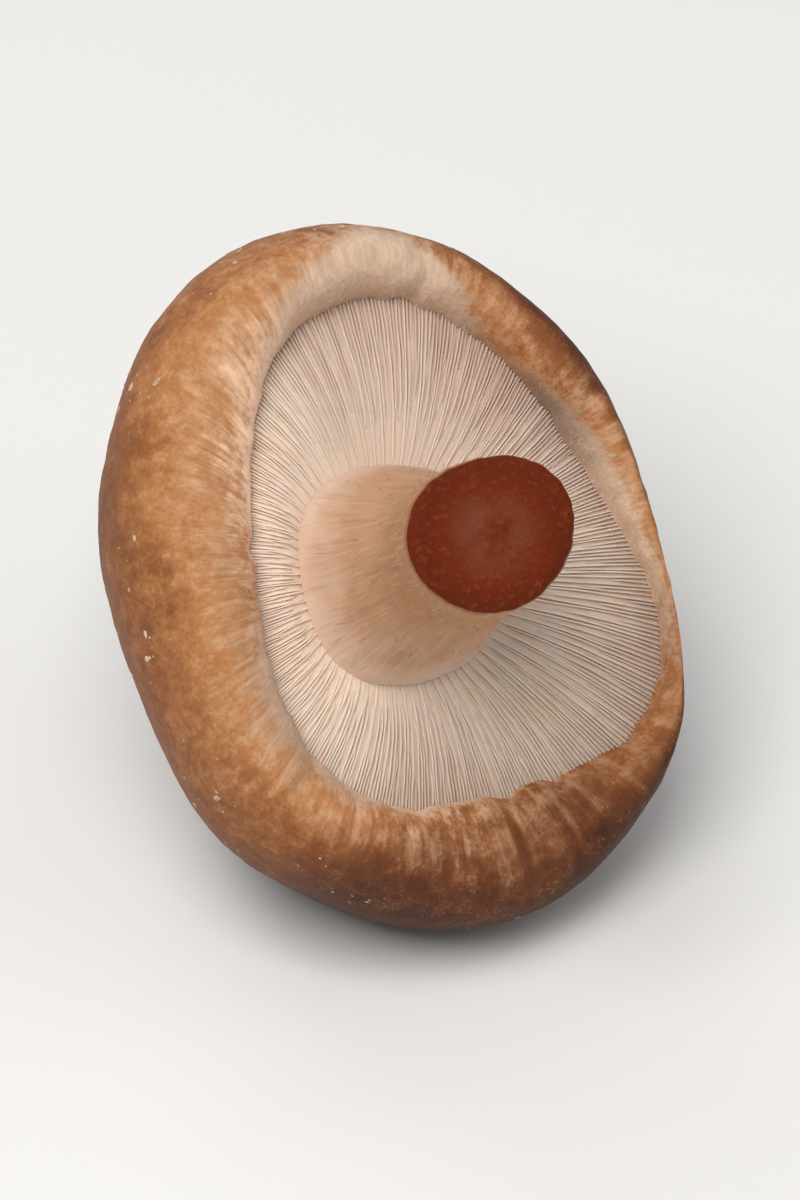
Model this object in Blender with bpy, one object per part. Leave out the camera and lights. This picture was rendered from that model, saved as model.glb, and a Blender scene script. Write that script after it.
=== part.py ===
# Shiitake mushroom, picked and cut, lying on the round of its cap with the gills up.
# Metres, +Z up. Every piece is built round the cap's own axis, which runs from the crown, below,
# to the cut end of the stem, above. One empty then leans them all to the way the mushroom lies.

from math import cos, exp, hypot, pi, radians, sin, tau

import bmesh
import bpy
from mathutils import Matrix, Vector, noise

MM = 0.001
GAP = 0.3 * MM  # left between two pieces that grew against each other

# The cap seen along its axis: its outline, and the mouth that the rolled edge leaves open.
# A lobe is (how many round the oval, its share of the radius, the angle of its first peak in degrees).
OUTLINE = {
    "width": 36.5 * MM,
    "length": 47.0 * MM,
    "turn": radians(-7),
    "middle": (0.5 * MM, -0.3 * MM),
    "lobes": ((3, 0.009, 41), (4, 0.017, 28), (5, 0.011, 70)),
}
MOUTH = {
    "width": 27.3 * MM,
    "length": 33.5 * MM,
    "turn": radians(-1),
    "middle": (2.5 * MM, -1.0 * MM),
    "lobes": ((3, 0.093, 82), (4, 0.023, 38), (5, 0.010, 19)),
}

# Heights along the axis, from the plane of the gill edges at the stem
EQUATOR = -3.4 * MM  # where the cap is widest
CREST = 2.4 * MM  # the top of the rolled edge
LIP = -0.6 * MM  # where the rolled edge turns down to the gills
DOME_DEPTH = 18.5 * MM  # from the widest ring down to the crown
DOME_FULLNESS = 1.8  # 2 is an ellipse, and more is squarer
CROWN_MIDDLE = (2.5 * MM, -6.5 * MM)
CREST_SWELL = ((1, 0.5 * MM, 70), (2, 0.35 * MM, 200), (5, 0.2 * MM, 20))
DIMPLES = {"depth": 0.5 * MM, "size": 11 * MM}  # the soft unevenness of the skin

# Gills: a ring of radial plates in three lengths, hung from the flesh under the cap
FULL_GILLS = 40
GILL_ORDERS = (0.0, 0.5, 0.2)  # where each gill in turn starts, from the stem to the mouth
GILL_RISE = 0.12  # the share of the way out over which a shorter gill comes up
GILL_DEPTH = 2.1 * MM  # the valley beside a gill, half way out
GILL_END_DEPTH = 0.55  # the valley at a gill's two ends, as a share of that
GILL_BOW = 0.7 * MM  # how far the gill edges bulge half way out
FLESH_FLOOR = -4.6 * MM  # the flesh that the gills and the stem grow from
FLESH_RISE = 1.1 * MM  # how much higher it is against the rolled edge

# Stem: its foot in the gills, its cut end, and the line that it leans along between them
FOOT = {
    "width": 14.8 * MM,
    "length": 15.2 * MM,
    "turn": 0.0,
    "middle": (-0.5 * MM, -0.2 * MM),
    "lobes": ((3, 0.02, 100), (4, 0.03, 120)),
}
TIP = {
    "width": 11.3 * MM,
    "length": 10.1 * MM,
    "turn": 0.0,
    "middle": (0.0, 0.0),
    "lobes": ((3, 0.02, 20),),
}
STEM_END = Vector((-6.2 * MM, 0.6 * MM, 24.5 * MM))
STEM_BEND = 0.45  # how far up the stem starts to lean
STEM_FLARE = 0.6  # how far up the foot's flare has died out
STEM_WAIST = 0.05  # how much narrower the stem is half way up
TIP_ROUNDING = 0.8 * MM
NEAR = 0.01  # the step along the stem's line that its direction is read over

# How the mushroom lies: leaned this far from crown down, on a flat this far below the axis's zero.
# The skin flattens towards it over the ease, and meets it where only the trim is left.
LEAN = radians(46)
REST_DEPTH = 22.4 * MM
REST_EASE = 0.5 * MM
REST_TRIM = 0.1 * MM

CAP_COLUMNS = 96
STEM_COLUMNS = 32
DOME_RINGS = 14
ROLL_RINGS = 12
FLOOR_RINGS = 2
GILL_RINGS = 8
STEM_RINGS = 12


def smooth_step(t):
    t = min(max(t, 0.0), 1.0)
    return t * t * (3 - 2 * t)


def waves(lobes, angle):
    # The sum of a few cosines round the axis
    return sum(height * cos(count * (angle - radians(peak))) for count, height, peak in lobes)


def oval(shape, angle, grow=0.0):
    # The point of an oval at this angle, moved outwards by grow
    across = cos(angle - shape["turn"]) / (shape["width"] / 2)
    along = sin(angle - shape["turn"]) / (shape["length"] / 2)
    reach = (1 + waves(shape["lobes"], angle)) / hypot(across, along) + grow
    x, y = shape["middle"]
    return Vector((x + reach * cos(angle), y + reach * sin(angle), 0.0))


def angles(columns):
    return [tau * column / columns for column in range(columns)]


def ring(columns, inner, outer, share, height):
    # A ring part of the way from one oval to another, at a height that may change round it
    points = []
    for angle in angles(columns):
        point = inner(angle).lerp(outer(angle), share)
        point.z = height(angle) if callable(height) else height
        points.append(point)
    return points


def flesh_floor(share):
    # The height of the flesh, from the stem to the mouth
    return FLESH_FLOOR + FLESH_RISE * smooth_step(share)


def cap_outline(angle):
    return oval(OUTLINE, angle)


def cap_mouth(angle):
    return oval(MOUTH, angle)


def stem_foot(angle):
    return oval(FOOT, angle)


def dent(point):
    # Moves a point of the skin in or out along its direction from the middle of the cap
    middle = Vector((0.0, 0.0, EQUATOR))
    reach = (point - middle).normalized()
    return point + reach * DIMPLES["depth"] * noise.noise(point / DIMPLES["size"])


def down():
    # The direction of the surface below, in the mushroom's own frame
    return Matrix.Rotation(-LEAN, 3, "X") @ Vector((0, 0, -1))


def settle(point):
    # Flattens the skin softly where it would sink below the flat
    start = REST_DEPTH + REST_TRIM - REST_EASE
    over = point.dot(down()) - start
    if over <= 0:
        return point
    return point + down() * (REST_EASE * (1 - exp(-over / REST_EASE)) - over)


def crest_height(angle):
    return CREST + waves(CREST_SWELL, angle)


def dome_rings():
    crown = Vector((*CROWN_MIDDLE, EQUATOR - DOME_DEPTH))
    power = 2 / DOME_FULLNESS
    rings = [[crown]]
    for step in range(1, DOME_RINGS + 1):
        turn = pi / 2 * step / DOME_RINGS
        rings.append(
            ring(
                CAP_COLUMNS,
                lambda angle: crown,
                cap_outline,
                sin(turn) ** power,
                EQUATOR - DOME_DEPTH * cos(turn) ** power,
            )
        )
    return rings


def roll_rings():
    # From the widest ring over the crest and down to the lip
    rings = []
    for step in range(1, ROLL_RINGS + 1):
        turn = pi * step / ROLL_RINGS
        foot = EQUATOR if turn < pi / 2 else LIP
        rings.append(
            ring(
                CAP_COLUMNS,
                cap_outline,
                cap_mouth,
                (1 - cos(turn)) / 2,
                lambda angle, foot=foot, turn=turn: foot + (crest_height(angle) - foot) * sin(turn),
            )
        )
    return rings


def floor_rings():
    # The flesh under the gills, from the mouth in to the axis
    rings = []
    for step in range(FLOOR_RINGS + 1):
        share = 1 - step / FLOOR_RINGS
        rings.append(ring(CAP_COLUMNS, stem_foot, cap_mouth, share, flesh_floor(share)))
    return rings + [[Vector((*FOOT["middle"], FLESH_FLOOR))]]


def skin(rings, around=False):
    # One closed body through rings of points. A ring of one point is a pole, and around joins the
    # last ring to the first.
    shape = bmesh.new()
    loops = [[shape.verts.new(point) for point in points] for points in rings]
    pairs = list(zip(loops, loops[1:]))
    if around:
        pairs.append((loops[-1], loops[0]))
    for first, second in pairs:
        columns = max(len(first), len(second))
        for column in range(columns):
            after = (column + 1) % columns
            if len(first) == 1:
                corners = (first[0], second[after], second[column])
            elif len(second) == 1:
                corners = (first[column], first[after], second[0])
            else:
                corners = (first[column], first[after], second[after], second[column])
            shape.faces.new(corners)
    bmesh.ops.recalc_face_normals(shape, faces=shape.faces)
    return shape


def cut_rest_flat(shape):
    # Trims the cap level with the surface below, and closes the cut with one flat face
    cut = bmesh.ops.bisect_plane(
        shape,
        geom=shape.verts[:] + shape.edges[:] + shape.faces[:],
        plane_co=down() * REST_DEPTH,
        plane_no=down(),
        clear_outer=True,
    )
    rim = [part for part in cut["geom_cut"] if isinstance(part, bmesh.types.BMEdge)]
    bmesh.ops.contextual_create(shape, geom=rim)
    bmesh.ops.recalc_face_normals(shape, faces=shape.faces)


def cap_shape():
    # The last two rings of the roll stay as they are, because the gills fit inside them
    body = dome_rings() + roll_rings()
    body = [[settle(dent(point)) for point in points] for points in body[:-2]] + body[-2:]
    shape = skin(body + floor_rings())
    cut_rest_flat(shape)
    return shape


def gill_start(column):
    # The share of the way out at which a gill begins; None for the valley between two gills
    if column % 2:
        return None
    return GILL_ORDERS[(column // 2) % len(GILL_ORDERS)]


def gill_edge(share):
    return GILL_BOW * sin(pi * share) + (LIP - GAP) * smooth_step(share)


def gill_height(column, share):
    start = gill_start(column)
    depth = GILL_DEPTH * (GILL_END_DEPTH + (1 - GILL_END_DEPTH) * sin(pi * share))
    raised = 0.0
    if start is not None:
        raised = 1.0 if start == 0 else smooth_step((share - start) / GILL_RISE)
    return gill_edge(share) - depth * (1 - raised)


def gills_shape():
    columns = 2 * FULL_GILLS * len(GILL_ORDERS)
    spread = angles(columns)

    def place(share, angle, height):
        point = oval(FOOT, angle, GAP).lerp(oval(MOUTH, angle, -GAP), share)
        point.z = height
        return point

    rings = []
    for step in range(FLOOR_RINGS + 1):
        share = 1 - step / FLOOR_RINGS
        rings.append([place(share, angle, flesh_floor(share) + GAP) for angle in spread])
    for step in range(GILL_RINGS + 1):
        share = step / GILL_RINGS
        rings.append(
            [place(share, angle, gill_height(column, share)) for column, angle in enumerate(spread)]
        )
    return skin(rings, around=True)


def stem_line(share):
    # The middle of the stem: straight up out of the gills, then leaning over to its cut end
    foot = Vector((*FOOT["middle"], 0.0))
    knee = Vector((*FOOT["middle"], STEM_END.z * STEM_BEND))
    return foot.lerp(knee, share).lerp(knee.lerp(STEM_END, share), share)


def stem_way(share):
    # The direction in which the stem runs here
    return (stem_line(share + NEAR) - stem_line(share - NEAR)).normalized()


def stem_spoke(angle, share, shrink):
    # From the stem's middle line to its side: wide at the foot, and soon as narrow as the tip
    foot = oval(FOOT, angle, -shrink) - Vector((*FOOT["middle"], 0.0))
    narrowed = 1 - max(0.0, 1 - share / STEM_FLARE) ** 2
    return foot.lerp(oval(TIP, angle, -shrink), narrowed) * (1 - STEM_WAIST * sin(pi * share))


def stem_ring(share, lift=0.0, shrink=0.0):
    # A ring round the stem's line, square to it, lifted along it and drawn in by shrink
    along = stem_way(share)
    turn = Vector((0, 0, 1)).rotation_difference(along).to_matrix()
    middle = stem_line(share) + along * lift
    return [middle + turn @ stem_spoke(angle, share, shrink) for angle in angles(STEM_COLUMNS)]


def stem_shape():
    butt = FLESH_FLOOR + GAP
    rings = [[Vector((*FOOT["middle"], butt))], stem_ring(0.0, lift=butt)]
    rings += [stem_ring(step / STEM_RINGS) for step in range(STEM_RINGS + 1)]
    for turn in (pi / 4, pi / 2):
        rings.append(stem_ring(1.0, TIP_ROUNDING * sin(turn), TIP_ROUNDING * (1 - cos(turn))))
    return skin(rings + [[STEM_END + stem_way(1.0) * TIP_ROUNDING]])


def finish_of(name, colour, roughness):
    material = bpy.data.materials.new(name)
    material.use_nodes = True
    surface = material.node_tree.nodes["Principled BSDF"]
    surface.inputs["Base Color"].default_value = (*colour, 1.0)
    surface.inputs["Roughness"].default_value = roughness
    surface.inputs["Metallic"].default_value = 0.0
    return material


def add_piece(name, shape, material, parent):
    mesh = bpy.data.meshes.new(name)
    shape.to_mesh(mesh)
    shape.free()
    mesh.materials.append(material)
    mesh.shade_smooth()
    mesh.set_sharp_from_angle(angle=radians(40))
    piece = bpy.data.objects.new(name, mesh)
    piece.parent = parent
    bpy.context.scene.collection.objects.link(piece)
    return piece


def lay_down(holder, pieces):
    # Leans the mushroom, stands its flat on z = 0 and centres its box over the origin
    holder.rotation_euler.x = LEAN
    holder.location.z = REST_DEPTH
    bpy.context.view_layer.update()
    points = [piece.matrix_world @ vertex.co for piece in pieces for vertex in piece.data.vertices]
    for axis in range(2):
        spread = [point[axis] for point in points]
        holder.location[axis] -= (min(spread) + max(spread)) / 2


for old in list(bpy.data.objects):
    bpy.data.objects.remove(old)

mushroom = bpy.data.objects.new("mushroom", None)
bpy.context.scene.collection.objects.link(mushroom)
pieces = [
    add_piece("cap", cap_shape(), finish_of("cap_skin", (0.40, 0.17, 0.070), 0.5), mushroom),
    add_piece("gills", gills_shape(), finish_of("gill_cream", (0.72, 0.55, 0.42), 0.8), mushroom),
    add_piece("stem", stem_shape(), finish_of("stem_flesh", (0.56, 0.34, 0.20), 0.75), mushroom),
]
lay_down(mushroom, pieces)
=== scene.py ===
import random
from math import atan2, cos, exp, hypot, pi, radians, sin, tau

import bmesh
import bpy
from mathutils import Matrix, Vector, noise
from mathutils.bvhtree import BVHTree


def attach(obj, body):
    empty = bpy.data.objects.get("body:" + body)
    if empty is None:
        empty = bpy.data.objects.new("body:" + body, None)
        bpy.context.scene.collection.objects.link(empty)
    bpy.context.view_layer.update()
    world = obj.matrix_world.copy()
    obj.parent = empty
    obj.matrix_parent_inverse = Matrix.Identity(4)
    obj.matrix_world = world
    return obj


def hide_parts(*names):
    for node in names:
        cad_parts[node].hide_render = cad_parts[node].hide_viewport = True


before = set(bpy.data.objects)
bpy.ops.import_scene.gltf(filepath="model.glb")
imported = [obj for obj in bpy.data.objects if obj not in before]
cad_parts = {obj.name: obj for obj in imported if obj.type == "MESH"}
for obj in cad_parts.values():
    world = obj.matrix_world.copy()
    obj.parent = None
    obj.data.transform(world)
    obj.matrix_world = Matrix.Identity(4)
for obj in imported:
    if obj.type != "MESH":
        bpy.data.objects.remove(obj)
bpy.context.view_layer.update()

mm = 0.001
weldWithin = 0.00001  # metres between points that are merged

# How the mushroom lies: its own axis runs from the crown to the cut end, and leans towards -Y.
lying = {
    # the middle of the gills, where the stem leaves them
    "origin": (-0.482 * mm, 0.005 * mm, 22.4 * mm),
    "lean": radians(46),
}
toRow = Matrix.Translation(lying["origin"]) @ Matrix.Rotation(lying["lean"], 4, "X")
toOwn = toRow.inverted()


# Tools that every piece uses
def deselectAll():
    if bpy.context.object and bpy.context.object.mode != "OBJECT":
        bpy.ops.object.mode_set(mode="OBJECT")
    bpy.ops.object.select_all(action="DESELECT")


def pick(piece):
    deselectAll()
    piece.select_set(True)
    bpy.context.view_layer.objects.active = piece


def copyNode(node, name):
    # A copy of a CAD node with its loose triangles merged and paired up again
    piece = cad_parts[node].copy()
    piece.data = piece.data.copy()
    piece.name = piece.data.name = name
    bpy.context.scene.collection.objects.link(piece)
    piece.parent = None
    piece.matrix_world = Matrix.Identity(4)
    pick(piece)
    bpy.ops.object.mode_set(mode="EDIT")
    bpy.ops.mesh.select_all(action="SELECT")
    bpy.ops.mesh.remove_doubles(threshold=weldWithin)
    bpy.ops.mesh.tris_convert_to_quads(face_threshold=radians(50), shape_threshold=radians(60))
    bpy.ops.mesh.mark_sharp(clear=True)
    bpy.ops.object.mode_set(mode="OBJECT")
    return piece


def refine(piece, levels, smoothing):
    # Splits every face in four and softens the result, as many times as there are levels
    pick(piece)
    for level in range(levels):
        finer = piece.modifiers.new("finer", "SUBSURF")
        finer.levels = finer.render_levels = 1
        bpy.ops.object.modifier_apply(modifier=finer.name)
        softer = piece.modifiers.new("softer", "SMOOTH")
        softer.factor = 0.5
        softer.iterations = smoothing
        bpy.ops.object.modifier_apply(modifier=softer.name)
    bpy.ops.object.shade_smooth()


def keepValues(piece, name, values):
    # One number or one vector for each vertex, which the material reads
    kind = "FLOAT" if isinstance(values[0], float) else "FLOAT_VECTOR"
    layer = piece.data.attributes.new(name, kind, "POINT")
    for slot, value in zip(layer.data, values):
        if kind == "FLOAT":
            slot.value = value
        else:
            slot.vector = value


def ease(t):
    # 0 up to 0, 1 from 1 on, and smooth between them
    t = min(max(t, 0.0), 1.0)
    return t * t * (3 - 2 * t)


def ownPoints(piece):
    # Its vertices in the mushroom's own frame
    return [toOwn @ vertex.co for vertex in piece.data.vertices]


def patches(table, angle):
    # The sum of soft patches round the axis, each (middle and half width in degrees, how much)
    total = 0.0
    for middle, width, amount in table:
        away = (angle - radians(middle) + pi) % tau - pi
        total += amount * exp(-((away / radians(width)) ** 2))
    return total


def ownCopy(piece):
    # A copy with a mesh of its own
    twin = piece.copy()
    twin.data = piece.data.copy()
    bpy.context.scene.collection.objects.link(twin)
    return twin


def joinAll(pieces, name):
    deselectAll()
    for piece in pieces:
        piece.select_set(True)
    bpy.context.view_layer.objects.active = pieces[0]
    bpy.ops.object.join()
    joined = bpy.context.object
    joined.name = joined.data.name = name
    return joined


def makeFibre(joints):
    # One three-sided hair along Z, 1 long, that gets thinner towards its tip
    narrowing = 0.72  # at each joint
    deselectAll()
    bpy.ops.mesh.primitive_circle_add(vertices=3, radius=0.5, fill_type="NGON")
    hair = bpy.context.object
    bpy.ops.object.mode_set(mode="EDIT")
    bpy.ops.mesh.select_all(action="SELECT")
    for joint in range(joints):
        bpy.ops.mesh.extrude_region_move(TRANSFORM_OT_translate={"value": (0, 0, 1 / joints)})
        bpy.ops.transform.resize(value=(narrowing, narrowing, 1))
    bpy.ops.mesh.select_all(action="SELECT")
    bpy.ops.mesh.normals_make_consistent(inside=False)
    bpy.ops.object.mode_set(mode="OBJECT")
    bpy.ops.object.shade_smooth()
    return hair


def wildWay(chance):
    # A random direction, by which hairs stray from their own
    return Vector((chance.gauss(0, 1), chance.gauss(0, 1), chance.gauss(0, 1)))


def layFibre(hair, root, way, bend, length, thickness):
    # Sets a hair on its root, running one way and bending towards another
    side = way.cross(bend).normalized()
    other = side.cross(way).normalized()
    for vertex in hair.data.vertices:
        x, y, t = vertex.co
        line = root + way * (length * t) + bend * (length * t * t)
        vertex.co = line + (side * x + other * y) * thickness


class Wire:
    # One socket of a material. Sums on it become Math nodes.
    def __init__(self, tree, socket=None):
        self.tree = tree
        self.socket = socket

    def node(self, kind, settings=None, sockets=None, output=0):
        made = self.tree.nodes.new(kind)
        for name, value in (settings or {}).items():
            if name == "stops":
                self.fillRamp(made.color_ramp, value)
            else:
                setattr(made, name, value)
        for name, value in (sockets or {}).items():
            if isinstance(value, Wire):
                self.tree.links.new(value.socket, made.inputs[name])
            else:
                made.inputs[name].default_value = value
        return Wire(self.tree, made.outputs[output] if made.outputs else None)

    def fillRamp(self, ramp, stops):
        while len(ramp.elements) > 1:
            ramp.elements.remove(ramp.elements[-1])
        for index, (place, colour) in enumerate(stops):
            stop = ramp.elements[0] if index == 0 else ramp.elements.new(place)
            stop.position = place
            stop.color = (*colour, 1.0)

    def maths(self, operation, *terms):
        return self.node("ShaderNodeMath", {"operation": operation}, dict(enumerate(terms)))

    def __add__(self, other):
        return self.maths("ADD", self, other)

    def __radd__(self, other):
        return self.maths("ADD", other, self)

    def __sub__(self, other):
        return self.maths("SUBTRACT", self, other)

    def __rsub__(self, other):
        return self.maths("SUBTRACT", other, self)

    def __mul__(self, other):
        return self.maths("MULTIPLY", self, other)

    def __rmul__(self, other):
        return self.maths("MULTIPLY", other, self)

    def __truediv__(self, other):
        return self.maths("DIVIDE", self, other)

    def __rtruediv__(self, other):
        return self.maths("DIVIDE", other, self)

    def between(self, low, high):
        # 0 below low, 1 above high, and smooth between them
        settings = {"interpolation_type": "SMOOTHSTEP"}
        sockets = {"Value": self, "From Min": low, "From Max": high}
        return self.node("ShaderNodeMapRange", settings, sockets)

    def ramp(self, stops):
        return self.node("ShaderNodeValToRGB", {"stops": stops}, {"Fac": self})

    def value(self, name):
        return self.node("ShaderNodeAttribute", {"attribute_name": name}, output=2)

    def vector(self, name):
        return self.node("ShaderNodeAttribute", {"attribute_name": name}, output=1)

    def part(self, axis):
        return self.node("ShaderNodeSeparateXYZ", {}, {0: self}, output="xyz".index(axis))

    def stretch(self, scale):
        # This vector with each part multiplied
        return self.node("ShaderNodeVectorMath", {"operation": "MULTIPLY"}, {0: self, 1: scale})

    def noise(self, scale, detail, roughness):
        sockets = {"Vector": self, "Scale": scale, "Detail": detail, "Roughness": roughness}
        return self.node("ShaderNodeTexNoise", {}, sockets)

    def blend(self, colour, share):
        # This colour turning into a plain one by share
        sockets = {0: share, 6: self, 7: (*colour, 1)}
        return self.node("ShaderNodeMix", {"data_type": "RGBA"}, sockets, output=2)

    def brighten(self, share):
        # This colour multiplied by a number
        sockets = {0: self, "Scale": share}
        return self.node("ShaderNodeVectorMath", {"operation": "SCALE"}, sockets)


def startFinish(name):
    material = bpy.data.materials.new(name)
    material.use_nodes = True
    material.node_tree.nodes.clear()
    return material, Wire(material.node_tree)


def placeInMillimetres(wire):
    # Object coordinates turned to the mushroom's own axis, in millimetres
    sockets = {
        "Vector": wire.node("ShaderNodeTexCoord", output=3),
        "Location": lying["origin"],
        "Rotation": (lying["lean"], 0, 0),
        "Scale": (mm, mm, mm),
    }
    return wire.node("ShaderNodeMapping", {"vector_type": "TEXTURE"}, sockets)


def endFinish(wire, colour, roughness, height, depth, flesh):
    # depth: how deep the relief is. flesh: how much light spreads under the surface, and how far.
    relief = {"Height": height, "Strength": 1.0, "Distance": depth * mm}
    bump = wire.node("ShaderNodeBump", {}, relief)
    sockets = {
        "Base Color": colour,
        "Roughness": roughness,
        "Normal": bump,
        "Subsurface Weight": flesh["weight"],
        "Subsurface Radius": flesh["radius"],
        "Subsurface Scale": flesh["spread"] * mm,
        "Specular IOR Level": flesh["gloss"],
    }
    shader = wire.node("ShaderNodeBsdfPrincipled", {}, sockets)
    wire.node("ShaderNodeOutputMaterial", {}, {"Surface": shader})


# The cap's skin, with the pale wool that covers its rolled edge. Lengths are in mm.
cap = {
    "finer": 2,
    "smoothing": 6,
    # where round the cap in degrees, depth and width
    "creases": (
        (269, 0.5, 2.2), (247, 0.3, 1.6), (281, 0.28, 1.2), (302, 0.3, 1.8),
        (214, 0.22, 1.4), (150, 0.25, 1.6), (60, 0.3, 1.6), (18, 0.25, 1.8),
    ),
    "creaseFrom": (0.42, 0.14),  # where on the roll they begin, and over how much they deepen
    "creaseSway": 0.02,  # how far round the cap a crease wanders, in radians
    "radius": 19,  # of the rolled edge, near enough to turn a crease's width into an angle
    # fine folds across the rolled edge, and where on the roll they begin and deepen
    "pleats": {"depth": 0.16, "count": 26, "from": (0.40, 0.22)},
    "wrinkles": {"depth": 0.065, "size": 1.7},
    "waves": {"depth": 0.12, "size": 6.5},
    "flat": 0.25,  # the skin below this height keeps the flat spot that the cap lies on
    "settling": 1.5,  # and the relief grows to its full depth over this much more
    "innerEdgeAbove": -8,  # the rolled edge's inner side is higher up the axis than this
    "fleshBelow": -2.4,  # and the flesh under the gills lower than this
    "crown": (0.070, 0.022, 0.009),
    "brown": (0.150, 0.048, 0.017),
    "russet": (0.255, 0.092, 0.031),
    "gold": (0.405, 0.170, 0.060),
    "tan": (0.450, 0.222, 0.100),
    "bloom": (0.520, 0.330, 0.205),  # the dusty film on the skin
    "wool": (0.575, 0.372, 0.245),
    "lip": (0.720, 0.540, 0.410),
    "woolFrom": 0.77,  # the place on the roll where the wool begins
    # Patches round the cap: their middle and half width in degrees, and how much further out
    # the wool reaches there, how much painted light the wool gets (painted shade below 0),
    # and how much darker the skin is, partly its own brown and partly painted shade
    "woolReach": (
        (68, 16, 0.42), (38, 20, -0.21), (112, 34, 0.07), (163, 16, -0.06),
        (196, 20, 0.10), (262, 28, -0.05), (305, 32, -0.24),
    ),
    # painted light on the wool round the cap, and painted shade where the amount is below 0
    "paintedWoolLight": (
        (132, 38, 0.42), (88, 14, -0.14), (66, 22, -0.15), (22, 22, -0.60), (208, 24, -0.30),
    ),
    "darkerSkinAndShade": (
        (290, 45, 0.50), (240, 18, 0.20), (152, 18, 0.02), (198, 16, -0.05),
        (28, 26, 0.45), (108, 20, -0.05),
    ),
    "relief": 0.11,
    "flesh": {"weight": 0.12, "radius": (1.0, 0.4, 0.2), "spread": 0.7, "gloss": 0.12},
}


def rollValues(piece):
    # 0 at the crown, 1/3 at the widest ring, 2/3 on top of the rolled edge and 1 inside it
    values = []
    turn = toOwn.to_3x3()
    wholeRoll = 1.5 * pi  # how far the skin turns in all
    gillSide = 0.8 * pi
    for vertex, point in zip(piece.data.vertices, ownPoints(piece)):
        normal = turn @ vertex.normal
        outwards = Vector((point.x, point.y, 0)).normalized()
        angle = atan2(normal.dot(outwards), -normal.z)
        if angle < 0 and point.z > cap["innerEdgeAbove"] * mm:
            angle += tau
        if angle > gillSide and point.z < cap["fleshBelow"] * mm:
            angle = wholeRoll
        values.append(min(max(angle / wholeRoll, 0.0), 1.0))
    return values


def grainOf(point, middle):
    # The way round a middle as a unit circle, so that a pattern on it has no seam, and the height
    away = point - middle
    reach = max(hypot(away.x, away.y), 1e-9)
    return Vector((away.x / reach, away.y / reach, point.z / mm))


def skinMarks(points, rolls):
    # How far inside the wool's border each point lies, the skin's tone with its painted shade, and
    # the painted light on the wool
    marks = []
    for point, roll in zip(points, rolls):
        angle = atan2(point.y, point.x)
        begins = cap["woolFrom"] - patches(cap["woolReach"], angle)
        # the skin's tone, lowered in patches that are partly its own darker brown and partly
        # painted shade
        skinToneAndShade = roll - patches(cap["darkerSkinAndShade"], angle)
        marks.append(Vector((roll - begins, skinToneAndShade, patches(cap["paintedWoolLight"], angle))))
    return marks


def creaseDepth(angle, roll):
    # Millimetres that the skin sinks at this place on the rolled edge
    depth = 0.0
    for degrees, deepest, width in cap["creases"]:
        away = (angle - radians(degrees) + pi) % tau - pi
        away += cap["creaseSway"] * sin(14 * roll + degrees)
        depth += deepest * exp(-((away * cap["radius"] / width * 2) ** 2))
    begins, over = cap["creaseFrom"]
    return depth * ease((roll - begins) / over)


def shapeCapSkin(piece, rolls, grains):
    # Pushes the skin in and out into pleats, wrinkles, waves and creases
    begins, over = cap["pleats"]["from"]
    normals = [vertex.normal.copy() for vertex in piece.data.vertices]
    places = zip(piece.data.vertices, normals, ownPoints(piece), rolls, grains)
    for vertex, normal, point, roll, grain in places:
        if vertex.co.z < cap["flat"] * mm:
            continue
        angle = atan2(point.y, point.x)
        spoke = Vector((grain.x, grain.y, roll * 0.5)) * cap["pleats"]["count"] / 3
        pleat = noise.noise(spoke) + 0.5 * noise.noise(spoke * 2.1)
        edge = ease((roll - begins) / over)
        wrinkle = noise.fractal(point / mm / cap["wrinkles"]["size"], 1.0, 2.0, 3)
        lift = noise.noise(point / mm / cap["waves"]["size"]) * cap["waves"]["depth"]
        lift += pleat * cap["pleats"]["depth"] * edge
        lift += wrinkle * cap["wrinkles"]["depth"] * (1 - 0.6 * edge)
        lift -= creaseDepth(angle, roll)
        settle = ease((vertex.co.z / mm - cap["flat"]) / cap["settling"])
        vertex.co += normal * lift * mm * settle


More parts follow.
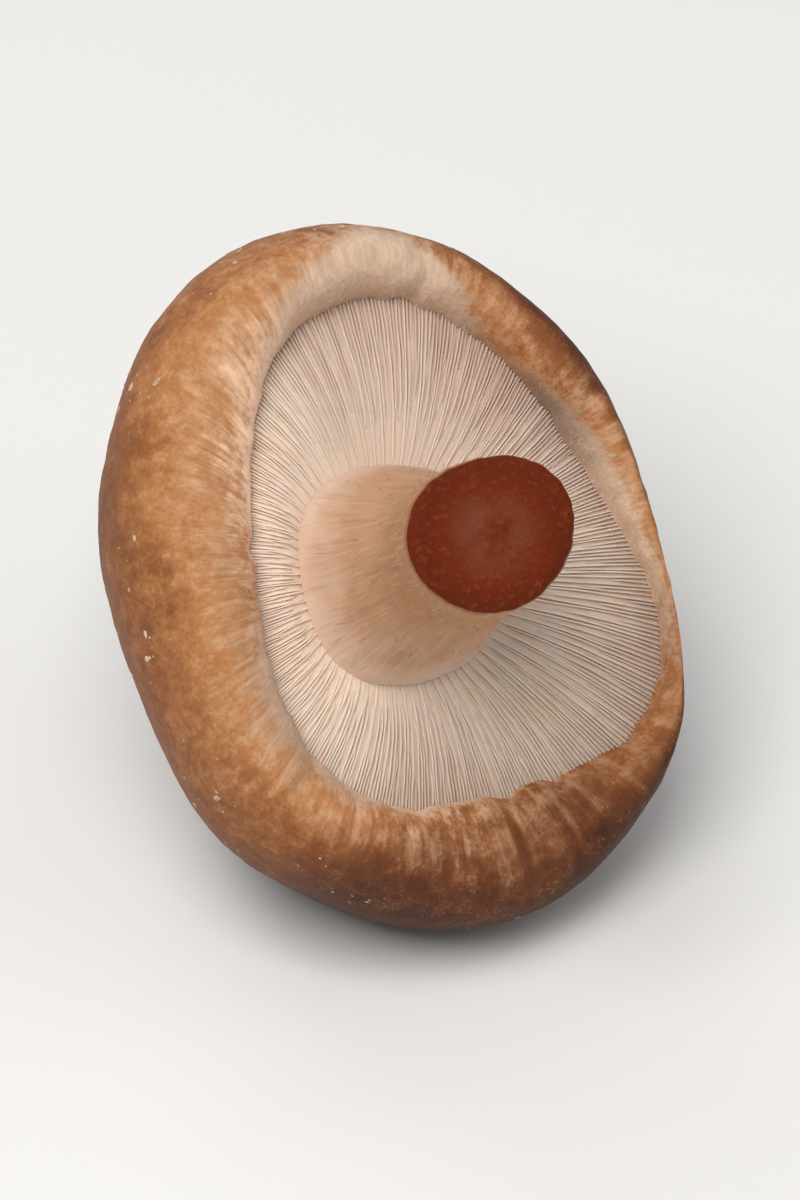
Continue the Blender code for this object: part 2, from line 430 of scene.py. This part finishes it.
def paintCap():
    material, wire = startFinish("capSkin")
    place = placeInMillimetres(wire)
    roll = wire.value("roll")
    marks = wire.vector("marks")
    grain = wire.vector("grain")
    fibres = grain.stretch((1, 1, 0.035)).noise(22, 4, 0.65)
    fineFibres = grain.stretch((1, 1, 0.06)).noise(62, 3, 0.6)
    clouds = place.noise(0.15, 4, 0.6)
    mottle = place.noise(0.60, 5, 0.65)
    film = place.noise(4.5, 3, 0.7)

    # Brown on the crown, and gold out to the rolled edge, darker in patches round the cap that are
    # partly its own brown and partly painted shade
    tone = marks.part("y") + (clouds - 0.5) * 0.34 + (fibres - 0.5) * 0.16 + (mottle - 0.5) * 0.26
    colour = tone.ramp((
        (0.00, cap["crown"]),
        (0.17, cap["brown"]),
        (0.33, cap["russet"]),
        (0.48, cap["gold"]),
        (0.72, cap["tan"]),
    ))
    dust = film.between(0.50, 0.72) * mottle.between(0.42, 0.62)
    colour = colour.blend(cap["bloom"], dust * 0.38)
    specks = place.noise(1.3, 3, 0.65)
    paleSpecks = specks.between(0.52, 0.70) * marks.part("y").between(0.25, 0.6)
    colour = colour.blend(cap["bloom"], paleSpecks * 0.45)
    colour = colour.blend(cap["brown"], (1 - specks).between(0.52, 0.72) * 0.22)

    # The wool frays out over the skin along its fibres
    frayed = marks.part("x") + (fibres - 0.5) * 0.34 + (mottle - 0.5) * 0.34
    frayed = frayed + (fineFibres - 0.5) * 0.12
    strands = (film * 0.2 + mottle * 0.35 + fibres * 0.45).between(0.44, 0.58)
    dusting = frayed.between(-0.34, 0.06) * strands
    dusting = dusting * (roll + (mottle - 0.5) * 0.2).between(0.20, 0.42)
    colour = colour.blend(cap["bloom"], dusting * 0.65)
    cover = frayed.between(-0.06, 0.12)
    colour = colour.blend(cap["wool"], cover * 0.88)
    lip = (marks.part("x") + (fibres - 0.5) * 0.08).between(0.02, 0.14)
    colour = colour.blend(cap["lip"], lip * 0.7)
    streak = fineFibres.between(0.25, 0.75) * 0.26 + fibres.between(0.3, 0.7) * 0.10 + 0.82
    # the wool brightened by its painted light, and dimmed by its painted shade where that is below
    # 0
    streak = streak * (cover * marks.part("z") + 1)
    colour = colour.brighten(streak)
    roughness = 0.54 + cover * 0.30 + (mottle - 0.5) * 0.2
    height = fibres * 0.5 + fineFibres * 0.3 + film * 0.35 + cover * 0.25
    endFinish(wire, colour, roughness, height, cap["relief"], cap["flesh"])
    return material


# The fine wool that hangs from the rolled edge over the ends of the gills. Lengths are in mm.
wool = {
    "count": 1000,
    "joints": 4,
    "length": 0.75,
    "thickness": 0.045,
    "rolls": (0.72, 0.97),  # the stretch of the roll that it grows on
    "lowest": -1.6,
    "full": 0.12,  # how far inside the border of the pale wool it is full, on the roll
    "denser": (0.76, 0.1),  # where on the roll it gets denser, and over how much
    "standing": 0.28,  # how much a hair leaves the skin, runs inwards and strays
    "inwards": 0.8,
    "stray": 0.22,
    "sunk": 0.05,
    "relief": 0.02,
    "flesh": {"weight": 0.2, "radius": (1.0, 0.6, 0.4), "spread": 0.4, "gloss": 0.2},
}


def paintWool():
    material, wire = startFinish("capWool")
    place = placeInMillimetres(wire)
    shade = place.noise(1.1, 3, 0.6)
    colour = shade.ramp(((0.3, cap["wool"]), (0.7, cap["lip"])))
    roughness = 0.82 + (shade - 0.5) * 0.1
    endFinish(wire, colour, roughness, shade, wool["relief"], wool["flesh"])
    return material


def rollOf(face, rolls):
    return sum(rolls[corner] for corner in face.vertices) / len(face.vertices)


def edgeHairs(skin, rolls, marks, chance):
    begins, over = wool["denser"]
    faces = []
    weights = []
    for face in skin.data.polygons:
        roll = rollOf(face, rolls)
        woolly = ease(marks[face.vertices[0]].x / wool["full"])
        onEdge = wool["rolls"][0] < roll < wool["rolls"][1]
        if onEdge and (toOwn @ face.center).z > wool["lowest"] * mm and woolly > 0:
            faces.append(face)
            weights.append(face.area * woolly * (0.25 + ease((roll - begins) / over)))
    first = makeFibre(wool["joints"])
    hairs = []
    for face in chance.choices(faces, weights=weights, k=wool["count"]):
        own = toOwn @ face.center
        inwards = Vector((-own.x, -own.y, -0.2 * mm)).normalized()
        inwards = toRow.to_3x3() @ inwards
        wild = wildWay(chance)
        inwards -= face.normal * inwards.dot(face.normal)
        way = face.normal * wool["standing"] + inwards * wool["inwards"] + wild * wool["stray"]
        bend = inwards * 0.2 - face.normal * 0.35 + wild.yzx * 0.2
        length = wool["length"] * chance.uniform(0.5, 1.3) * mm
        hair = ownCopy(first)
        root = face.center - face.normal * wool["sunk"] * mm
        thickness = wool["thickness"] * chance.uniform(0.6, 1.2) * mm
        layFibre(hair, root, way.normalized(), bend, length, thickness)
        hairs.append(hair)
    bpy.data.objects.remove(first)
    piece = joinAll(hairs, "edgeWool")
    piece.data.materials.append(paintWool())
    return piece


# The crumbs of the veil, in loose groups over the dome. Lengths are in mm.
flecks = {
    "count": 280,
    "size": 0.42,
    "height": 0.12,
    "rolls": (0.06, 0.42),  # the stretch of the roll that they lie on
    "clear": 0.6,  # how high above the surface it lies on the lowest one is
    "groups": 6.5,
    "strays": 0.05,  # how many lie between the groups
    "onCrown": 0.35,  # and on the crown, where they are fewer
    "ragged": 0.55,
    "dark": (0.40, 0.23, 0.13),
    "pale": (0.66, 0.50, 0.37),
    "relief": 0.05,
    "flesh": {"weight": 0.15, "radius": (1.0, 0.6, 0.4), "spread": 0.3, "gloss": 0.25},
}


def makeFleck():
    # A low crumb, flat below
    deselectAll()
    bpy.ops.mesh.primitive_ico_sphere_add(subdivisions=2, radius=0.5)
    crumb = bpy.context.object
    bpy.ops.object.mode_set(mode="EDIT")
    bpy.ops.mesh.select_all(action="SELECT")
    bpy.ops.mesh.bisect(plane_co=(0, 0, -0.12), plane_no=(0, 0, 1), use_fill=True, clear_inner=True)
    bpy.ops.object.mode_set(mode="OBJECT")
    bpy.ops.object.shade_smooth()
    return crumb


def veilFlecks(skin, rolls, chance):
    first = makeFleck()
    faces = []
    weights = []
    for face in skin.data.polygons:
        roll = rollOf(face, rolls)
        onDome = flecks["rolls"][0] < roll < flecks["rolls"][1]
        if face.center.z < flecks["clear"] * mm or not onDome:
            continue
        crowd = ease((noise.noise((toOwn @ face.center) / mm / flecks["groups"]) + 0.25) / 0.5)
        faces.append(face)
        share = (flecks["strays"] + crowd) * (flecks["onCrown"] + ease((roll - 0.08) / 0.22))
        weights.append(face.area * share)
    crumbs = []
    for face in chance.choices(faces, weights=weights, k=flecks["count"]):
        crumb = ownCopy(first)
        width = flecks["size"] * (0.35 + 1.5 * chance.random() ** 3) * mm  # mostly small
        narrow = chance.uniform(0.5, 0.95)
        tall = flecks["height"] * chance.uniform(0.5, 1.0) * mm
        stand = face.normal.to_track_quat("Z", "Y").to_matrix()
        stand = stand @ Matrix.Rotation(chance.uniform(0, tau), 3, "Z")
        shift = Vector((chance.uniform(0, 50), 0, 0))
        for vertex in crumb.data.vertices:
            ragged = 1 + flecks["ragged"] * noise.noise(vertex.co * 2.4 + shift)
            x, y, z = vertex.co
            spot = Vector((x * width * ragged, y * width * ragged * narrow, z * tall * ragged))
            vertex.co = face.center + stand @ spot
        crumbs.append(crumb)
    bpy.data.objects.remove(first)
    piece = joinAll(crumbs, "veilFlecks")
    piece.data.materials.append(paintFlecks())
    return piece


def paintFlecks():
    material, wire = startFinish("veilCrumb")
    place = placeInMillimetres(wire)
    shade = place.noise(0.8, 3, 0.6)
    grit = place.noise(7.0, 2, 0.6)
    colour = shade.ramp(((0.32, flecks["dark"]), (0.66, flecks["pale"])))
    roughness = 0.80 + (grit - 0.5) * 0.1
    endFinish(wire, colour, roughness, grit, flecks["relief"], flecks["flesh"])
    return material


print("cap: the skin")
capSkin = copyNode("cap", "capSkin")
refine(capSkin, cap["finer"], cap["smoothing"])
capRolls = rollValues(capSkin)
capGrains = [grainOf(point, Vector((0, 0, 0))) for point in ownPoints(capSkin)]
keepValues(capSkin, "roll", capRolls)
keepValues(capSkin, "grain", capGrains)
capMarks = skinMarks(ownPoints(capSkin), capRolls)
keepValues(capSkin, "marks", capMarks)
shapeCapSkin(capSkin, capRolls, capGrains)
capSkin.data.materials.clear()
capSkin.data.materials.append(paintCap())
print("cap: the wool and the flecks")
edgeWool = edgeHairs(capSkin, capRolls, capMarks, random.Random(5))
veilCrumbs = veilFlecks(capSkin, capRolls, random.Random(8))
for piece in (capSkin, edgeWool, veilCrumbs):
    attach(piece, "root")
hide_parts("cap")


# The gills: fine plates in five lengths on a bed of flesh. Lengths are in mm.
gills = {
    "count": 390,
    # where each gill in turn begins, from the stem to the rolled edge, and how much that varies
    "starts": (0.0, 0.52, 0.26, 0.68, 0.14),
    "uneven": 0.10,
    "stations": 10,  # the squares along a gill, and down it
    "rows": 2,
    "rise": 0.20,  # the share of the way out over which a shorter gill comes up
    "taper": 0.16,  # and over which a full one does
    "thickness": 0.155,
    "bow": 0.7,  # how far the edges bulge half way out
    "lip": -0.35,  # the height of the edges at the rolled edge
    "depth": 1.5,
    "bed": 0.22,  # how far below the edges the flesh between them lies
    "bedThickness": 0.6,
    "bedColumns": 144,
    "bedRows": 10,
    "tuck": 0.5,  # how far their ends run into the stem and the rolled edge
    "wallShare": 0.35,  # and at most how much of the cap's wall
    "wave": 0.06,
    "ripple": 0.05,
    "foot": (-0.5, -0.2),  # the middle of the stem's foot
    "cream": (0.785, 0.63, 0.52),
    "edge": (0.80, 0.65, 0.54),
    "shade": (0.77, 0.60, 0.49),
    "paintedLightAndShade": (  # painted light and shade in patches round the axis, as on the cap
        (35, 35, -1.5), (82, 20, -0.8), (118, 18, 0.3), (175, 36, 1.0),
        (212, 18, 0.4), (250, 22, -1.0), (320, 25, -0.5),
    ),
    "rimShadeMauve": (0.60, 0.47, 0.42),  # the painted shade under the rolled edge
    "warm": (0.76, 0.55, 0.40),
    "shadeBlush": (0.63, 0.435, 0.35),  # painted shade, made pinker, where they are least pale
    "relief": 0.03,
    "flesh": {"weight": 0.35, "radius": (1.0, 0.6, 0.4), "spread": 0.8, "gloss": 0.25},
}
sheetThickness = 0.05  # of the first blade, which is 1 long and 1 deep


def blade():
    # One gill from 0 to 1 along X, standing from -0.5 to 0.5 along Z
    deselectAll()
    columns, rows = gills["stations"], gills["rows"]
    bpy.ops.mesh.primitive_grid_add(
        x_subdivisions=columns, y_subdivisions=rows, size=1, location=(0.5, 0, 0))
    sheet = bpy.context.object
    bpy.ops.object.mode_set(mode="EDIT")
    bpy.ops.mesh.select_all(action="SELECT")
    bpy.ops.transform.rotate(value=-pi / 2, orient_axis="X", center_override=(0.5, 0, 0))
    bpy.ops.object.mode_set(mode="OBJECT")
    bpy.ops.object.transform_apply(location=True, rotation=True, scale=True)
    thick = sheet.modifiers.new("thick", "SOLIDIFY")
    thick.thickness = sheetThickness
    thick.offset = 0
    bpy.ops.object.modifier_apply(modifier=thick.name)
    return sheet


def gillEdge(share):
    # How high the gills' edges are at a share of the way out
    return gills["bow"] * sin(pi * share) + gills["lip"] * ease(share)


def treeOf(piece):
    # The faces of a piece in the mushroom's own frame, to find where a gill meets them
    shape = bmesh.new()
    shape.from_mesh(piece.data)
    shape.transform(toOwn)
    tree = BVHTree.FromBMesh(shape)
    shape.free()
    return tree


def gillEnds(angle, capTree, stemTree):
    # The points just inside the stem and just inside the cap's wall that a gill spans
    rayHeight = -1.6 * mm
    justBeyond = 0.02 * mm
    way = Vector((cos(angle), sin(angle), 0))
    middle = Vector((gills["foot"][0] * mm, gills["foot"][1] * mm, rayHeight))
    outer = capTree.ray_cast(middle, way)[0]
    wall = capTree.ray_cast(outer + way * justBeyond, way)[3]
    inner = stemTree.ray_cast(outer, -way)[0]
    tuck = min(gills["tuck"] * mm, wall * gills["wallShare"])
    return inner - way * gills["tuck"] * mm, outer + way * tuck


def placeBlade(sheet, angle, start, trees, chance):
    # Sets a gill at its angle, from a start on the way out, with its own waves, and a tint that is
    # partly random tone and partly painted light and shade
    inner, outer = gillEnds(angle, *trees)
    across = Vector((-sin(angle), cos(angle), 0))
    wave, ripple, phase = chance.uniform(-1, 1), chance.uniform(4, 9), chance.uniform(0, tau)
    thick = gills["thickness"] * chance.uniform(0.85, 1.12)
    depths = []
    ways = []
    for vertex in sheet.data.vertices:
        along = start + (1 - start) * vertex.co.x
        down = 0.5 - vertex.co.z
        point = inner.lerp(outer, along)
        if start:
            rise = ease((along - start) / gills["rise"])
        else:
            rise = 0.25 + 0.75 * ease(along / gills["taper"])
        top = gillEdge(along) - (1 - rise) * gills["bed"]
        top += gills["ripple"] * sin(ripple * 3 * along + phase)
        point.z = (top - gills["depth"] * down) * mm
        side = thick * (vertex.co.y / (sheetThickness / 2)) / 2
        side *= 0.55 + 0.45 * min(1.0, down * 2)  # narrower at its edge
        sway = gills["wave"] * wave * sin(ripple * along + phase) * (1 - 0.5 * down)
        vertex.co = toRow @ (point + across * (side + sway) * mm)
        depths.append(float(down))
        ways.append(float(along))
    keepValues(sheet, "depth", depths)
    keepValues(sheet, "outwards", ways)
    # a random tone, plus painted light and shade by where round the axis the gill stands
    toneAndPaintedLight = chance.uniform(0.0, 1.0) + patches(gills["paintedLightAndShade"], angle)
    keepValues(sheet, "toneAndPaintedLight", [toneAndPaintedLight] * len(depths))


def gillBed(trees):
    # The flesh that the gills stand on, as one ring
    deselectAll()
    columns, rows = gills["bedColumns"], gills["bedRows"]
    bpy.ops.mesh.primitive_grid_add(x_subdivisions=columns, y_subdivisions=rows, size=1)
    bed = bpy.context.object
    for vertex in bed.data.vertices:
        inner, outer = gillEnds(tau * (vertex.co.x + 0.5), *trees)
        share = vertex.co.y + 0.5
        point = inner.lerp(outer, share)
        point.z = (gillEdge(share) - gills["bed"]) * mm
        vertex.co = toRow @ point
    pick(bed)
    bpy.ops.object.mode_set(mode="EDIT")
    bpy.ops.mesh.select_all(action="SELECT")
    bpy.ops.mesh.remove_doubles(threshold=weldWithin)
    bpy.ops.object.mode_set(mode="OBJECT")
    thick = bed.modifiers.new("thick", "SOLIDIFY")
    thick.thickness = gills["bedThickness"] * mm
    thick.offset = 1
    bpy.ops.object.modifier_apply(modifier=thick.name)
    points = ownPoints(bed)
    # painted light and shade on the bed, by where round the axis it lies
    tonesAndPaintedLight = [0.5 + patches(gills["paintedLightAndShade"], atan2(point.y, point.x)) for point in points]
    keepValues(bed, "outwards", [0.5] * len(points))
    keepValues(bed, "depth", [0.6] * len(points))
    keepValues(bed, "toneAndPaintedLight", tonesAndPaintedLight)
    return bed


def paintGills():
    material, wire = startFinish("gillFlesh")
    place = placeInMillimetres(wire)
    depth = wire.value("depth")
    toneAndPaintedLight = wire.value("toneAndPaintedLight")
    far = wire.value("outwards")
    clouds = place.noise(0.22, 3, 0.5)
    grain = place.noise(3.0, 3, 0.6)
    colour = depth.ramp(((0.0, gills["edge"]), (0.10, gills["cream"]), (0.65, gills["shade"])))
    colour = colour.blend(gills["warm"], clouds.between(0.42, 0.75) * 0.45)
    # painted shade under the rolled edge, less where the painted light is high
    shaded = (far + (clouds - 0.5) * 0.2).between(0.74, 1.0) * (1 - toneAndPaintedLight.between(0.6, 1.6))
    colour = colour.blend(gills["rimShadeMauve"], shaded * 0.30)
    # painted shade: pinker where the painted patches are darkest, more so further out under the rim
    shadeBlush = (0.3 - toneAndPaintedLight).between(0.0, 1.6) * (0.25 + far.between(0.1, 0.9) * 0.75)
    colour = colour.blend(gills["shadeBlush"], shadeBlush)
    # brighter by the random tone and the painted light, dimmer by the painted shade
    bright = 0.915 + toneAndPaintedLight.between(0.0, 2.0) * 0.24 + (grain - 0.5) * 0.08
    colour = colour.brighten(bright)
    roughness = 0.74 + (grain - 0.5) * 0.2
    endFinish(wire, colour, roughness, grain, gills["relief"], gills["flesh"])
    return material


def makeGills():
    chance = random.Random(11)
    trees = treeOf(capSkin), treeOf(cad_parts["stem"])
    first = blade()
    blades = [gillBed(trees)]
    for index in range(gills["count"]):
        sheet = ownCopy(first)
        angle = tau * (index + chance.uniform(-0.15, 0.15)) / gills["count"]
        start = gills["starts"][index % len(gills["starts"])]
        if start:
            start += chance.uniform(-1, 1) * gills["uneven"]
        placeBlade(sheet, angle, start, trees, chance)
        blades.append(sheet)
    bpy.data.objects.remove(first)
    piece = joinAll(blades, "gillBlades")
    bpy.ops.object.mode_set(mode="EDIT")
    bpy.ops.mesh.select_all(action="SELECT")
    bpy.ops.mesh.normals_make_consistent(inside=False)
    bpy.ops.object.mode_set(mode="OBJECT")
    bpy.ops.object.shade_smooth_by_angle(angle=radians(50))
    piece.data.materials.append(paintGills())
    return piece


print("gills")
gillBlades = makeGills()
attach(gillBlades, "root")
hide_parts("gills")


# The stem: tough and fibrous, with a dark cut end. Lengths are in mm.
stem = {
    "finer": 3,
    "smoothing": 3,
    "foot": (-0.5, -0.2),  # the middle of its foot
    "end": (-6.2, 0.6, 24.5),  # the middle of its cut end
    "fibres": 0.09,  # how deep the fibres are
    "lumps": 0.12,
    "cutBeyond": 0.55,  # from here on the relief is the cut face's own
    "dish": 0.25,  # how far the cut face sinks in the middle
    "dishFrom": (4.6, 2.5),  # how far from its middle that begins, and over how much it sinks
    "browns": 24,  # how far up its colour has turned from pale to tan
    "collar": (0.70, 0.54, 0.43),  # where it meets the gills
    "pale": (0.64, 0.455, 0.345),
    "peach": (0.51, 0.30, 0.177),
    "tan": (0.41, 0.205, 0.092),
    "bark": (0.30, 0.135, 0.058),  # the darker strands of its skin
    "scorch": (0.22, 0.078, 0.028),  # the skin next to the cut
    "cutReach": 5.2,  # the cut face's radius
    "cutFrom": 0.08,  # how far beyond the stem's end the cut face begins
    "cut": (0.132, 0.018, 0.004),
    "cutRing": (0.108, 0.017, 0.006),
    "cutFibre": (0.25, 0.060, 0.020),
    # the painted sheen: paler grey patches in the cut's middle
    "cutSheen": (0.19, 0.066, 0.036),
    "relief": 0.14,
    "flesh": {"weight": 0.2, "radius": (1.0, 0.5, 0.3), "spread": 0.8, "gloss": 0.28},
    "cutRelief": 0.22,
    "cutFlesh": {"weight": 0.0, "radius": (1.0, 0.5, 0.3), "spread": 0.5, "gloss": 0.04},
}


def stemMiddle(height):
    # Where the stem's own line is at a height, as seen along the axis
    share = min(max(height / (stem["end"][2] * mm), 0.0), 1.1) ** 2
    foot = Vector((stem["foot"][0] * mm, stem["foot"][1] * mm, 0))
    end = Vector((stem["end"][0] * mm, stem["end"][1] * mm, 0))
    return foot.lerp(end, share)


def stemGrain(piece):
    return [grainOf(point, stemMiddle(point.z)) for point in ownPoints(piece)]


def endPlane():
    # A point on the cut end and the direction it faces, in the mushroom's own frame
    bendFrom = 0.45  # how far up the stem starts to lean
    end = Vector(stem["end"]) * mm
    near = Vector((stem["foot"][0], stem["foot"][1], stem["end"][2] * bendFrom)) * mm
    way = (end - near).normalized()
    return end, way


def cutValues(piece):
    # How far each point is beyond the stem's end, and from the line through it
    end, way = endPlane()
    cuts = []
    for point in ownPoints(piece):
        beyond = (point - end).dot(way)
        reach = ((point - end) - way * beyond).length / mm
        cuts.append(Vector((beyond / mm, reach, 0)))
    return cuts


def shapeStem(piece, grains, cuts):
    # Raises the fibres along the stem, and dishes the cut face
    begins, over = stem["dishFrom"]
    normals = [vertex.normal.copy() for vertex in piece.data.vertices]
    for vertex, normal, grain, cut in zip(piece.data.vertices, normals, grains, cuts):
        along = Vector((grain.x * 5, grain.y * 5, grain.z * 0.08))
        lift = (noise.noise(along) + 0.5 * noise.noise(along * 2.3)) * stem["fibres"]
        lift += stem["lumps"] * noise.noise(Vector((grain.x, grain.y, grain.z * 0.3)) * 1.3)
        if cut.x > stem["cutBeyond"]:
            lift = 0.05 * noise.noise(vertex.co / mm * 1.1)
            lift -= stem["dish"] * ease((begins - cut.y) / over)
        vertex.co += normal * lift * mm


def paintStem():
    material, wire = startFinish("stemFlesh")
    place = placeInMillimetres(wire)
    grain = wire.vector("grain")
    beyond = wire.vector("cut").part("x")
    height = grain.part("z")
    fibres = grain.stretch((1, 1, 0.008)).noise(11, 4, 0.65)
    fineFibres = grain.stretch((1, 1, 0.006)).noise(32, 3, 0.65)
    clouds = place.noise(0.24, 3, 0.5)
    mottle = place.noise(1.6, 3, 0.6)
    tone = height / stem["browns"] + (clouds - 0.5) * 0.6 + (fibres - 0.5) * 0.40
    colour = tone.ramp(((0.02, stem["pale"]), (0.22, stem["peach"]), (0.62, stem["tan"])))
    colour = colour.blend(stem["pale"], fineFibres.between(0.50, 0.72) * 0.50)
    colour = colour.blend(stem["bark"], (1 - fibres).between(0.50, 0.70) * 0.40)
    foot = 1 - (height + (mottle - 0.5) * 1.5).between(0.0, 2.2)
    colour = colour.blend(stem["collar"], foot * 0.7)
    nearCut = (beyond + (fibres - 0.5) * 1.2).between(-1.3, 0.35)
    colour = colour.blend(stem["scorch"], nearCut * 0.85)
    roughness = 0.70 + (mottle - 0.5) * 0.2
    relief = fibres * 0.6 + fineFibres * 0.35
    endFinish(wire, colour, roughness, relief, stem["relief"], stem["flesh"])
    return material


def paintCut():
    material, wire = startFinish("cutEnd")
    place = placeInMillimetres(wire)
    reach = wire.vector("cut").part("y")
    fibres = place.noise(2.2, 4, 0.7)
    pores = place.noise(6.5, 3, 0.6)
    clouds = place.noise(0.28, 3, 0.6)
    ring = (reach + (fibres - 0.5) * 0.6 + (clouds - 0.5) * 0.8) / stem["cutReach"]
    colour = ring.ramp((
        (0.0, stem["cut"]),
        (0.66, stem["cut"]),
        (0.86, stem["cutRing"]),
        (0.97, stem["cut"]),
    ))
    colour = colour.blend(stem["cutFibre"], fibres.between(0.48, 0.75) * 0.5)
    # painted sheen in patches towards the cut's middle
    paintedSheen = (1 - ring).between(0.25, 0.8) * clouds.between(0.40, 0.62)
    colour = colour.blend(stem["cutSheen"], paintedSheen * 0.55)
    roughness = 0.58 + (fibres - 0.5) * 0.3
    relief = fibres + pores * 0.4 + clouds * 0.5
    endFinish(wire, colour, roughness, relief, stem["cutRelief"], stem["cutFlesh"])
    return material


# Loose fibres that lie along the stem and end before the cut. Lengths are in mm.
threads = {
    "count": 460,
    "joints": 4,
    "length": 2.0,
    "thickness": 0.055,
    "above": 1.5,  # the gills' edges
    "before": 2.4,  # the cut end
    "standing": 0.05,  # how much one leaves the skin, and strays
    "stray": 0.06,
    "sunk": 0.02,
}


def stemHairs(skin, cuts, chance):
    up = toRow.to_3x3() @ endPlane()[1]
    faces = []
    for face in skin.data.polygons:
        high = (toOwn @ face.center).z > threads["above"] * mm
        if high and cuts[face.vertices[0]].x < -threads["before"]:
            faces.append(face)
    areas = [face.area for face in faces]
    first = makeFibre(threads["joints"])
    hairs = []
    for face in chance.choices(faces, weights=areas, k=threads["count"]):
        wild = wildWay(chance)
        lengthwise = up - face.normal * up.dot(face.normal)
        run = lengthwise * chance.choice((1, 1, -1))  # most run up the stem
        way = run + face.normal * threads["standing"] + wild * threads["stray"]
        bend = face.normal * chance.uniform(-0.06, 0.10) + wild.yzx * 0.08
        length = threads["length"] * chance.uniform(0.4, 1.3) * mm
        hair = ownCopy(first)
        root = face.center - face.normal * threads["sunk"] * mm
        thickness = threads["thickness"] * chance.uniform(0.6, 1.3) * mm
        layFibre(hair, root, way.normalized(), bend, length, thickness)
        hairs.append(hair)
    bpy.data.objects.remove(first)
    return joinAll(hairs, "stemFibres")


print("stem")
stemSkin = copyNode("stem", "stemSkin")
refine(stemSkin, stem["finer"], stem["smoothing"])
stemGrains = stemGrain(stemSkin)
stemCuts = cutValues(stemSkin)
keepValues(stemSkin, "grain", stemGrains)
keepValues(stemSkin, "cut", stemCuts)
shapeStem(stemSkin, stemGrains, stemCuts)
stemSkin.data.materials.clear()
stemSkin.data.materials.append(paintStem())
stemSkin.data.materials.append(paintCut())
for face in stemSkin.data.polygons:
    beyond = min(stemCuts[corner].x for corner in face.vertices)
    face.material_index = 1 if beyond > stem["cutFrom"] else 0
stemFibres = stemHairs(stemSkin, stemCuts, random.Random(21))
stemFibres.data.materials.append(stemSkin.data.materials[0])
keepValues(stemFibres, "grain", stemGrain(stemFibres))
keepValues(stemFibres, "cut", cutValues(stemFibres))
for piece in (stemSkin, stemFibres):
    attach(piece, "root")
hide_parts("stem")


# The floor, the lights and the camera
stage = {
    "floor": (0.74, 0.74, 0.735),
    "floorSize": 4,  # metres, as the rest here
    "room": (1.0, 0.99, 0.97),
    "roomLight": 0.30,
    # name, place, size, watts and colour
    "lights": (
        ("windowLight", (-0.31, -0.17, 0.63), 0.45, 5.0, (1.0, 0.98, 0.95)),
        ("fillLight", (0.5, -0.5, 0.45), 0.7, 1.3, (0.98, 0.98, 1.0)),
        ("backLight", (0.1, 0.6, 0.5), 0.5, 1.2, (1.0, 1.0, 1.0)),
    ),
    "lit": (0, 0, 0.02),  # the point that the lights face
    "azimuth": radians(-37.6),
    "elevation": radians(40),
    "distance": 2.10,
    "lens": 990,
    "aim": (-2.2 * mm, -2.0 * mm, 22.0 * mm),
}


def makeFloor():
    deselectAll()
    bpy.ops.mesh.primitive_plane_add(size=stage["floorSize"], location=(0, 0, 0))
    floor = bpy.context.object
    floor.name = "floor"
    material, wire = startFinish("paleFloor")
    sockets = {"Base Color": (*stage["floor"], 1), "Roughness": 0.7}
    shader = wire.node("ShaderNodeBsdfPrincipled", {}, sockets)
    wire.node("ShaderNodeOutputMaterial", {}, {"Surface": shader})
    floor.data.materials.append(material)


def addLight(name, place, size, power, colour):
    light = bpy.data.lights.new(name, "AREA")
    light.size = size
    light.energy = power
    light.color = colour
    lamp = bpy.data.objects.new(name, light)
    lamp.location = place
    facing = Vector(stage["lit"]) - Vector(place)
    lamp.rotation_euler = facing.to_track_quat("-Z", "Y").to_euler()
    bpy.context.scene.collection.objects.link(lamp)


def makeRoom():
    world = bpy.data.worlds.new("softRoom")
    world.use_nodes = True
    bpy.context.scene.world = world
    air = world.node_tree.nodes["Background"].inputs
    air["Color"].default_value = (*stage["room"], 1)
    air["Strength"].default_value = stage["roomLight"]
    bpy.context.scene.view_settings.view_transform = "Standard"


def makeCamera():
    camera = bpy.data.objects.new("camera", bpy.data.cameras.new("camera"))
    camera.data.lens = stage["lens"]
    camera.data.clip_start = 0.01
    az, el = stage["azimuth"], stage["elevation"]
    back = Vector((sin(az) * cos(el), -cos(az) * cos(el), sin(el)))
    camera.location = Vector(stage["aim"]) + back * stage["distance"]
    camera.rotation_euler = (-back).to_track_quat("-Z", "Y").to_euler()
    bpy.context.scene.collection.objects.link(camera)
    bpy.context.scene.camera = camera


print("stage")
makeFloor()
for light in stage["lights"]:
    addLight(*light)
makeRoom()
makeCamera()
